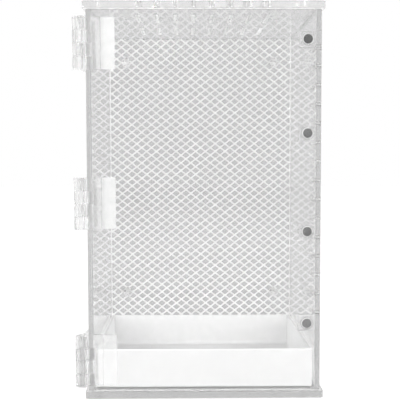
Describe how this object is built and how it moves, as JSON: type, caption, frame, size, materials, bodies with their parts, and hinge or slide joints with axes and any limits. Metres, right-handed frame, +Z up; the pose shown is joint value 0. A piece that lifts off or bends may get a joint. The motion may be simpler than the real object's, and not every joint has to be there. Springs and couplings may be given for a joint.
{
  "type": "acrylic reptile terrarium",
  "caption": "Tall clear acrylic reptile terrarium: side-hinged magnetic front door, slotted top and side wall, white climbing mesh on the back and a loose white substrate tray.",
  "frame": {"origin": "centre of the underside of the base plate", "axes": "+X to the right as seen from the front, +Y from the door to the back wall, +Z up"},
  "size_m": [0.2137, 0.2177, 0.34],
  "materials": {
    "clear_acrylic": "clear cast sheet with polished edges",
    "clear_moulded_plastic": "clear injection moulding, slightly cloudy",
    "white_plastic": "satin white sheet",
    "white_adhesive_pad": "matt white foam tape",
    "white_mesh_plastic": "matt white moulded net",
    "magnet_nickel": "nickel-plated disc"
  },
  "bodies": {
    "cabinet": {"base_plate": "clear_acrylic", "top_plate": "clear_acrylic", "left_wall": "clear_acrylic", "right_wall": "clear_acrylic", "back_wall": "clear_acrylic", "climbing_mesh": "white_mesh_plastic", "mesh_rivet_1": "clear_moulded_plastic", "mesh_rivet_2": "clear_moulded_plastic", "mesh_rivet_3": "clear_moulded_plastic", "mesh_rivet_4": "clear_moulded_plastic", "magnet_block_1": "clear_acrylic", "magnet_block_2": "clear_acrylic", "magnet_block_3": "clear_acrylic", "magnet_block_4": "clear_acrylic", "block_magnet_1": "magnet_nickel", "block_magnet_2": "magnet_nickel", "block_magnet_3": "magnet_nickel", "block_magnet_4": "magnet_nickel", "hinge_1_wall_leaf": "clear_moulded_plastic", "hinge_1_wall_pad": "white_adhesive_pad", "hinge_1_pin": "clear_moulded_plastic", "hinge_2_wall_leaf": "clear_moulded_plastic", "hinge_2_wall_pad": "white_adhesive_pad", "hinge_2_pin": "clear_moulded_plastic", "hinge_3_wall_leaf": "clear_moulded_plastic", "hinge_3_wall_pad": "white_adhesive_pad", "hinge_3_pin": "clear_moulded_plastic"},
    "door": {"door_panel": "clear_acrylic", "door_magnet_1": "magnet_nickel", "door_magnet_2": "magnet_nickel", "door_magnet_3": "magnet_nickel", "door_magnet_4": "magnet_nickel", "hinge_1_door_leaf": "clear_moulded_plastic", "hinge_1_door_pad": "white_adhesive_pad", "hinge_2_door_leaf": "clear_moulded_plastic", "hinge_2_door_pad": "white_adhesive_pad", "hinge_3_door_leaf": "clear_moulded_plastic", "hinge_3_door_pad": "white_adhesive_pad"},
    "tray": {"substrate_tray": "white_plastic"}
  },
  "joints": [
    {"name": "door_hinge", "type": "hinge", "parent": "cabinet", "child": "door", "pos_m": [-0.105, -0.107, 0.17], "axis": [0, 0, -1], "range_deg": [0, 260]},
    {"name": "tray_lift", "type": "slide", "parent": "cabinet", "child": "tray", "axis": [0, 0, 1], "range_m": [0, 0.06]}
  ]
}
